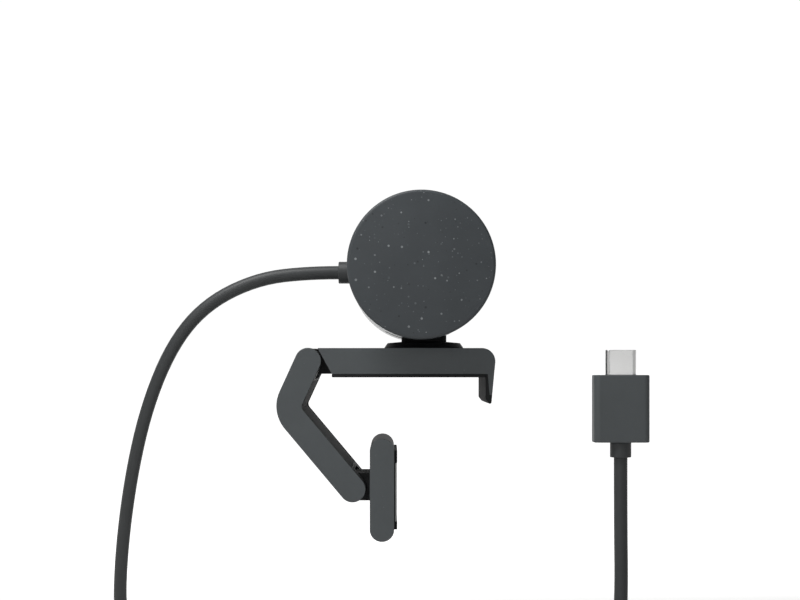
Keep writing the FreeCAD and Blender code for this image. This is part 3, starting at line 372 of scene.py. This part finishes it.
def sensor_die():
    """Silicon with its fine grid of picture cells."""
    finish = Finish("sensor_die", {"Metallic": 0.6, "Coat Weight": 1.0, "Coat Roughness": 0.02})
    grid = stripes(finish.axis("Y"), 0.14, 0.6) * stripes(finish.axis("Z"), 0.14, 0.6)
    sheen = finish.noise(4.0, 1.0)
    tone = finish.mix(sheen.between(0.35, 0.65), shade(40, 62, 84), shade(88, 58, 96))
    finish.set({"Base Color": finish.mix(grid, shade(20, 24, 26), tone),
                "Roughness": 0.2 + grid * 0.1})
    return finish.material


def amber_film():
    """Flexible ribbon with its tracks."""
    finish = Finish("amber_film", {"Coat Weight": 0.4, "Coat Roughness": 0.15})
    lines = stripes(finish.axis("Y"), 0.5, 0.5)
    finish.set({"Base Color": finish.mix(lines, shade(150, 88, 22), shade(190, 120, 50)),
                "Roughness": 0.35 + finish.noise(2.0) * 0.1})
    finish.bump(lines, 0.02)
    return finish.material


def frosted_guide():
    """Cloudy clear plastic that carries the status light."""
    finish = Finish("frosted_guide", {"Transmission Weight": 0.6, "IOR": 1.49})
    finish.grained(shade(236, 238, 240), 0.02, 0.35, 0.08, 0.4, 0.01)
    return finish.material


def tacky_film():
    """Pale, slightly sticky film on the foot's pad."""
    finish = Finish("tacky_film", {"Coat Weight": 0.5, "Coat Roughness": 0.15})
    finish.grained(shade(176, 178, 176), 0.05, 0.4, 0.1, 1.2, 0.01)
    return finish.material


FINISHES = {
    "speckled_plastic": slate_with_specks(),
    "graphite_plastic": graphite_moulding("graphite_moulding", 0.0),
    "black_plastic": black_moulding(),
    "gloss_black": gloss_ring(),
    "black_rubber": soft_rubber(),
    "cord_jacket": lead_jacket(),
    "steel": metal("brushed_steel", shade(190, 191, 193), 0.3, 0.003),
    "plated_steel": bright_plating(),
    "black_steel": metal("blackened_steel", shade(52, 52, 54), 0.4, 0.003),
    "aluminium": metal("blasted_aluminium", shade(205, 206, 208), 0.42, 0.002),
    "window_glass": dark_window(),
    "lens_glass": glass("coated_lens", shade(190, 170, 230), 420.0),
    "filter_glass": glass("infrared_filter_glass", shade(190, 225, 225), 560.0),
    "circuit_board": solder_mask(),
    "chip_black": epoxy_black(),
    "sensor_silicon": sensor_die(),
    "ribbon_film": amber_film(),
    "light_guide": frosted_guide(),
    "pale_film": tacky_film(),
    "contact_gold": metal("gold_contacts", shade(232, 196, 112), 0.25, 0.001),
}

SLOTS = {name: node.data.materials[0].name for name, node in NODES.items()}
for name, node in NODES.items():
    node.material_slots[0].material = FINISHES[SLOTS[name]]


# --- lead --------------------------------------------------------------------

CORD_RADIUS = 1.825
COLLAR_END = (-18.9, 0.0, 28.4)
PLUG_AXIS = (56.5, -10.0)
# from the collar, over and down behind the clip, and to the coil
LEAD_ROUTE = [
    COLLAR_END, (-27.0, 0.0, 28.4), (-40.8, 0.0, 26.8), (-54.2, 0.0, 20.4),
    (-63.6, 0.5, 10.0), (-71.2, 3.0, -6.6), (-76.7, 8.0, -26.9), (-80.8, 15.5, -50.0),
    (-82.7, 24.0, -70.5), (-78.5, 44.0, -82.8), (-60.0, 66.0, -83.3), (-33.0, 74.0, -83.25),
    (-9.0, 67.0, -82.8), (5.5, 50.5, -81.0), (10.0, 31.0, -77.5), (9.7, 11.8, -74.8)]
# the end that leaves the coil and stands up to the connector
TAIL_ROUTE = [
    (41.6, -13.0, -81.9), (51.0, -11.9, -76.6), (56.2, -10.6, -67.2),
    (56.7, -10.1, -55.0), (*PLUG_AXIS, -38.5), (*PLUG_AXIS, -21.3)]

COIL_MIDDLE = (35.2, 11.8, -78.3)
COIL_RADIUS = 21.8
COIL_PITCH = 3.72
COIL_TURNS = 8.25
TURN_POINTS = 16
# each turn's place in the bundle, as steps outwards and upwards from its middle
COIL_CELLS = ((1, 1), (0, 1), (-1, 1), (-1, 0), (-1, -1), (0, -1), (0, 0), (1, 0), (1, -1))
# the part of each turn, from 0 to 1, in which it moves to the next one's place
CROSSING = (0.53, 0.70)


def coil_points():
    """The turns of the tied coil; each changes places with the next under the tie."""
    shrink = math.cos(math.pi / TURN_POINTS)
    points = []
    for step in range(1, int(COIL_TURNS * TURN_POINTS) + 1):
        turns = step / TURN_POINTS
        number = int(turns)
        share = (turns - number - CROSSING[0]) / (CROSSING[1] - CROSSING[0])
        share = min(1.0, max(0.0, share))
        here = COIL_CELLS[min(number, len(COIL_CELLS) - 1)]
        there = COIL_CELLS[min(number + 1, len(COIL_CELLS) - 1)]
        out = here[0] + (there[0] - here[0]) * share
        up = here[1] + (there[1] - here[1]) * share
        angle = math.pi + 2 * math.pi * turns
        radius = (COIL_RADIUS + out * COIL_PITCH) / shrink
        points.append((COIL_MIDDLE[0] + radius * math.cos(angle),
                       COIL_MIDDLE[1] + radius * math.sin(angle),
                       COIL_MIDDLE[2] + up * COIL_PITCH))
    return points


def smooth_line(name, route):
    """A curve drawn smoothly by the points of a route."""
    curve = bpy.data.curves.new(name, "CURVE")
    curve.dimensions = "3D"
    curve.resolution_u = 6
    spline = curve.splines.new("NURBS")
    spline.points.add(len(route) - 1)
    for place, point in zip(route, spline.points):
        point.co = (*metres(*place), 1)
    spline.order_u = 3
    spline.use_endpoint_u = True
    line = bpy.data.objects.new(name, curve)
    bpy.context.scene.collection.objects.link(line)
    return line


def alone(piece):
    """Selects one piece and makes it the active one."""
    bpy.ops.object.select_all(action="DESELECT")
    piece.select_set(True)
    bpy.context.view_layer.objects.active = piece
    return piece


lead = smooth_line("lead", LEAD_ROUTE + coil_points() + TAIL_ROUTE)
centre_line = bpy.data.meshes.new_from_object(lead)
lead.data.bevel_depth = CORD_RADIUS * MM
lead.data.bevel_resolution = 6
lead.data.use_fill_caps = True
alone(lead)
bpy.ops.object.convert(target="MESH")
bpy.ops.object.shade_smooth()
lead.data.materials.clear()
lead.data.materials.append(FINISHES["cord_jacket"])
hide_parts("cable_lead", "cable_coil", "cable_tail")
metres(*COLLAR_END)
metres(-19.0, 0.0, -20.0)
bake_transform(lead)


# --- ways of making ----------------------------------------------------------

SMOOTH_BELOW = math.radians(32)
BREAK_ABOVE = math.radians(40)
BREAK_STEPS = 3
ARC_STEPS = 5


def begin(name, primitive, **how):
    """Adds a primitive, alone in the selection, and opens it for editing."""
    bpy.ops.object.select_all(action="DESELECT")
    primitive(**how)
    piece = bpy.context.active_object
    piece.name = piece.data.name = name
    bpy.ops.object.mode_set(mode="EDIT")
    return piece


def end(piece):
    """Closes a piece: doubles merged, faces outwards, smooth where it curves."""
    bpy.ops.mesh.select_all(action="SELECT")
    bpy.ops.mesh.remove_doubles(threshold=1e-6)
    bpy.ops.mesh.normals_make_consistent(inside=False)
    bpy.ops.object.mode_set(mode="OBJECT")
    alone(piece)
    bpy.ops.object.transform_apply(location=True, rotation=True, scale=True)
    bpy.ops.object.shade_smooth_by_angle(angle=SMOOTH_BELOW)
    return piece


def fit(piece, body, *nodes, slot=None, finish=None):
    """Gives a piece its finish, the CAD nodes it stands for and the body it moves with."""
    slot = slot or SLOTS[nodes[0]]
    piece.data.materials.clear()
    piece.data.materials.append(finish or FINISHES[slot])
    if nodes:
        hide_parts(*nodes)
    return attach(piece, body)


def eased(corners, closed=False):
    """An outline whose corners are rounded by their third number, where they have one."""
    points = []
    last = len(corners) - 1
    for number, corner in enumerate(corners):
        here = Vector(corner[:2])
        if len(corner) < 3 or (not closed and number in (0, last)):
            points.append(tuple(here))
            continue
        back = (Vector(corners[number - 1][:2]) - here).normalized()
        ahead = (Vector(corners[(number + 1) % len(corners)][:2]) - here).normalized()
        half = back.angle(ahead) / 2
        middle = here + (back + ahead).normalized() * (corner[2] / math.sin(half))
        reach = corner[2] / math.tan(half)
        start, finish = here + back * reach - middle, here + ahead * reach - middle
        sweep = start.angle_signed(finish)
        for step in range(ARC_STEPS + 1):
            turn = Matrix.Rotation(-sweep * step / ARC_STEPS, 2)
            points.append(tuple(middle + turn @ start))
    return points


def lathe(name, middle, axis, profile, steps=160, ring=False):
    """A piece from the lathe: its profile gives distances along the axis and radii.

    A ring's profile closes on itself; any other starts and ends with a flat face."""
    (along, radius), *rest = profile
    if ring:
        rest.append(profile[0])
    piece = begin(name, bpy.ops.mesh.primitive_circle_add, vertices=steps, radius=radius * MM,
                  fill_type="NOTHING" if ring else "NGON", location=(0, 0, along * MM))
    for further, wider in rest:
        bpy.ops.mesh.extrude_region_move(
            TRANSFORM_OT_translate={"value": (0, 0, (further - along) * MM)})
        share = wider / radius
        bpy.ops.transform.resize(value=(share, share, 1), center_override=(0, 0, 0))
        along, radius = further, wider
    bpy.ops.object.mode_set(mode="OBJECT")
    turn = {"X": Matrix.Rotation(math.radians(90), 4, "Y"),
            "Y": Matrix.Rotation(math.radians(-90), 4, "X"), "Z": Matrix.Identity(4)}[axis]
    piece.matrix_world = Matrix.Translation(metres(*middle)) @ turn @ piece.matrix_world
    bpy.ops.object.mode_set(mode="EDIT")
    return end(piece)


def broken_edges(name, node, width):
    """A piece with a CAD node's shape, its sharp edges broken as a mould leaves them."""
    piece = bpy.data.objects.new(name, NODES[node].data.copy())
    piece.data.name = name
    bpy.context.scene.collection.objects.link(piece)
    alone(piece)
    bpy.ops.mesh.customdata_custom_splitnormals_clear()
    bpy.ops.object.mode_set(mode="EDIT")
    bpy.ops.mesh.select_all(action="SELECT")
    bpy.ops.mesh.remove_doubles(threshold=2e-6)
    bpy.ops.mesh.dissolve_limited(angle_limit=math.radians(0.4))
    bpy.ops.object.mode_set(mode="OBJECT")
    bevel = piece.modifiers.new("broken_edges", "BEVEL")
    bevel.width = width * MM
    bevel.segments = BREAK_STEPS
    bevel.limit_method = "ANGLE"
    bevel.angle_limit = BREAK_ABOVE
    bevel.harden_normals = False
    bpy.ops.object.modifier_apply(modifier=bevel.name)
    bpy.ops.object.shade_smooth_by_angle(angle=BREAK_ABOVE)
    weights = piece.modifiers.new("even_shading", "WEIGHTED_NORMAL")
    weights.keep_sharp = True
    bpy.ops.object.modifier_apply(modifier=weights.name)
    return piece


# --- camera head -------------------------------------------------------------

cap_low, cap_high = millimetres("end_cap")
dial_low, dial_high = millimetres("shutter_dial")
shell_low = millimetres("barrel_shell")[0]
HEAD = ((cap_low.x + cap_high.x) / 2, 0.0, (cap_low.z + cap_high.z) / 2)
BARREL = (cap_high.z - cap_low.z) / 2
WALL = 1.6
INSIDE = BARREL - WALL
SLIP = 0.1
END_ROUND = 0.8
CHAMFER = 0.12
CORE = 1.0

end_disc = lathe("end_disc", HEAD, "Y", eased([
    (cap_low.y, CORE), (cap_low.y, BARREL, END_ROUND), (shell_low.y - CHAMFER, BARREL),
    (shell_low.y, BARREL - CHAMFER), (shell_low.y, INSIDE - SLIP), (cap_high.y, INSIDE - SLIP, 0.2),
    (cap_high.y, INSIDE - WALL), (shell_low.y, INSIDE - WALL), (shell_low.y, CORE)]), steps=256)
fit(end_disc, "camera_head", "end_cap")

DIAL_SIDE = dial_high.y - 4.0
DIAL_FLOOR = dial_high.y - 1.5
HUB = 4.5
AXLE_HOLE = 1.55
GROOVE_FLOOR = dial_high.y - 0.35
shutter_knob = lathe("shutter_knob", HEAD, "Y", eased([
    (dial_high.y, CORE), (dial_high.y, 12.0), (GROOVE_FLOOR, 12.3), (GROOVE_FLOOR, 13.2),
    (dial_high.y, 13.5), (dial_high.y, BARREL, END_ROUND), (DIAL_SIDE + CHAMFER, BARREL),
    (DIAL_SIDE, BARREL - CHAMFER), (DIAL_SIDE, INSIDE - SLIP), (dial_low.y, INSIDE - SLIP),
    (dial_low.y, INSIDE - WALL), (DIAL_FLOOR, INSIDE - WALL), (DIAL_FLOOR, HUB), (DIAL_SIDE, HUB),
    (DIAL_SIDE, AXLE_HOLE), (DIAL_FLOOR, AXLE_HOLE), (DIAL_FLOOR, CORE)],
    closed=True), steps=256, ring=True)
fit(shutter_knob, "shutter", "shutter_dial")

gland_low, gland_high = millimetres("cable_gland")
GLAND_AXIS = (0.0, 0.0, (gland_low.z + gland_high.z) / 2)
GLAND = 2.975
GLAND_FLANGE = 4.17
FLANGE_FROM = gland_low.x + 5.4
lead_collar = lathe("lead_collar", GLAND_AXIS, "X", eased([
    (gland_low.x, CORE), (gland_low.x, 2.0), (gland_low.x + 0.15, 2.15), (gland_low.x, 2.3),
    (gland_low.x, GLAND, 0.25), (FLANGE_FROM, GLAND), (FLANGE_FROM, GLAND_FLANGE),
    (gland_high.x, GLAND_FLANGE), (gland_high.x, CORE)]), steps=96)
fit(lead_collar, "camera_head", "cable_gland", slot="cord_jacket")

fit(broken_edges("barrel_tube", "barrel_shell", 0.12), "camera_head", "barrel_shell",
    finish=graphite_moulding("satin_graphite", 0.6))
fit(broken_edges("lens_ring", "lens_bezel", 0.1), "camera_head", "lens_bezel")


# --- swivel ------------------------------------------------------------------

base_low, base_high = millimetres("swivel_base")
SWIVEL = ((base_low.x + base_high.x) / 2, 0.0, 0.0)
PUCK = 10.7
STUD_HOLE = 3.05
PUCK_FACE = 9.0
swivel_puck = lathe("swivel_puck", SWIVEL, "Z", eased([
    (base_low.z, STUD_HOLE), (base_low.z, PUCK), (base_low.z + 0.2, PUCK, 0.08), (9.2, 9.85, 0.25),
    (9.55, 6.05), (PUCK_FACE, 5.2), (PUCK_FACE, STUD_HOLE)], closed=True), ring=True)
fit(swivel_puck, "swivel_mount", "swivel_base")
fit(broken_edges("neck_post", "neck", 0.3), "swivel_mount", "neck")


# --- clip, arm and foot ------------------------------------------------------

MOULDINGS = (
    ("bar_cover", "bar_shell", "clip_bar", 0.3), ("bar_knuckle", "bar_core", "clip_bar", 0.3),
    ("rest_pad", "bar_pad", "clip_bar", 0.2), ("lip_rubber", "lip_pad", "clip_bar", 0.2),
    ("arm_cover", "arm_shell", "arm", 0.3), ("arm_grip", "arm_liner", "arm", 0.15),
    ("foot_cover", "foot_shell", "foot", 0.3), ("foot_hinge", "foot_knuckle", "foot", 0.3),
    ("foot_rubber", "foot_pad", "foot", 0.2))
for name, node, body, width in MOULDINGS:
    fit(broken_edges(name, node, width), body, node)


def paint_shade_by_facing(piece, slot, facing, least):
    """Paints shade on the faces of a piece that look one way, by giving them a second, darker finish."""
    piece.data.materials.append(FINISHES[slot])
    for face in piece.data.polygons:
        if face.normal.dot(facing) > least:
            # painted shade: the faces that look this way take the darker finish
            face.material_index = 1


# painted shade: the upper sides of the foot and its hinge and the hollow side of the arm get a darker
# finish than the rest, for the shade that falls there
PAINTED_SHADE_FACES = (
    ("foot_cover", "black_plastic", (0, 0, 1), 0.25), ("foot_hinge", "black_rubber", (0, 0, 1), 0.25),
    ("arm_cover", "black_plastic", (0.9, 0, 0.4), 0.45))
for name, slot, facing, least in PAINTED_SHADE_FACES:
    paint_shade_by_facing(bpy.data.objects[name], slot, Vector(facing), least)


# --- connector and tie -------------------------------------------------------

STRAP_HALF = 6.8
STRAP_WIDTH = 6.0
STRAP_CORNER = 3.0
STRAP_THICK = 1.0
STRAP_AT = math.radians(40)


def coil_strap():
    """A flat band round the bundle, made along X and then turned to its place on the coil."""
    across = 2 * STRAP_HALF
    band = begin("coil_strap", bpy.ops.mesh.primitive_cube_add, size=1,
                 location=metres(COIL_RADIUS, 0, 0), scale=metres(across, STRAP_WIDTH, across))
    bpy.ops.mesh.select_mode(type="FACE")
    bpy.ops.mesh.select_all(action="DESELECT")
    bpy.ops.object.mode_set(mode="OBJECT")
    for face in band.data.polygons:
        face.select = abs(face.normal.y) > 0.5
    bpy.ops.object.mode_set(mode="EDIT")
    bpy.ops.mesh.delete(type="FACE")
    bpy.ops.mesh.select_mode(type="EDGE")
    bpy.ops.mesh.select_non_manifold()
    bpy.ops.mesh.select_all(action="INVERT")
    bpy.ops.mesh.bevel(offset=STRAP_CORNER * MM, segments=8, affect="EDGES")
    bpy.ops.mesh.select_mode(type="VERT")
    end(band)
    webbing = band.modifiers.new("webbing", "SOLIDIFY")
    webbing.thickness = STRAP_THICK * MM
    webbing.offset = -1.0
    bpy.ops.object.modifier_apply(modifier=webbing.name)
    hem = band.modifiers.new("hem", "BEVEL")
    hem.width = 0.25 * MM
    hem.segments = 3
    hem.limit_method = "ANGLE"
    hem.angle_limit = math.radians(50)
    bpy.ops.object.modifier_apply(modifier=hem.name)
    band.matrix_world = Matrix.Translation(metres(*COIL_MIDDLE)) @ Matrix.Rotation(STRAP_AT, 4, "Z")
    bpy.ops.object.transform_apply(location=True, rotation=True, scale=True)
    return band


plug_body = broken_edges("plug_body", "plug_housing", 0.3)
plug_relief = broken_edges("plug_relief", "plug_collar", 0.2)
plug_tube = broken_edges("plug_tube", "plug_shell", 0.08)
strap = coil_strap()
PLUG_PIECES = ((plug_body, "plug_housing"), (plug_relief, "plug_collar"), (plug_tube, "plug_shell"),
               (strap, "cable_tie"))
for piece, node in PLUG_PIECES:
    fit(piece, "swivel_mount", node)
metres(*COLLAR_END)


# --- floor and light ---------------------------------------------------------

FLOOR_HEIGHT = -85.7
bpy.ops.object.select_all(action="DESELECT")
bpy.ops.mesh.primitive_plane_add(size=60, location=metres(0, 0, FLOOR_HEIGHT))
floor = bpy.context.active_object
floor.name = "floor"
floor_finish = Finish("glowing_floor", {"Emission Color": (1, 1, 1, 1)})
floor_finish.grained(shade(232, 232, 231), 0.01, 0.8, 0.05, 4.0, 0.02)
# the floor glows behind the webcam and far round it: it reads white there and also lights the webcam from
# behind
from_middle = (floor_finish.axis("X") ** 2 + floor_finish.axis("Y") ** 2) ** 0.5
floor_glow = floor_finish.axis("Y").between(80.0, 260.0).most(from_middle.between(300.0, 1100.0) * 0.8)
floor_finish.set({"Emission Strength": floor_glow * 0.9})
floor.data.materials.append(floor_finish.material)

# the surroundings are bright behind the webcam, dim all round it, and white where they are seen
DIM = 0.1
world = bpy.data.worlds.new("studio")
bpy.context.scene.world = world
world.use_nodes = True
sky = Mixture(world.node_tree)
direction = sky.add("ShaderNodeTexCoord", output="Generated")
behind = sky.add("ShaderNodeSeparateXYZ", {}, {"Vector": direction}, "Y")
seen = sky.add("ShaderNodeLightPath", output="Is Camera Ray")
surround = behind.between(0.35, 0.95) * (1 - DIM) + DIM
background = world.node_tree.nodes["Background"]
sky.feed(background.inputs["Color"], (1, 1, 1, 1))
sky.feed(background.inputs["Strength"], surround.most(seen) * 1.02)


def soft_light(name, place, target, size, watts):
    """A square soft box that looks at a point, itself out of sight."""
    light = bpy.data.lights.new(name, "AREA")
    light.size = size * MM
    light.energy = watts
    lamp = bpy.data.objects.new(name, light)
    lamp.location = metres(*place)
    from_target = lamp.location - metres(*target)
    lamp.rotation_euler = from_target.to_track_quat("Z", "Y").to_euler()
    lamp.visible_camera = False
    bpy.context.scene.collection.objects.link(lamp)


soft_light("key", (-170, -150, 400), (0, -20, 0), 260, 2.2)
soft_light("fill", (-130, -300, 130), (0, -20, 0), 120, 0.16)
soft_light("card", (120, -450, 0), (56, -10, 10), 50, 0.012)
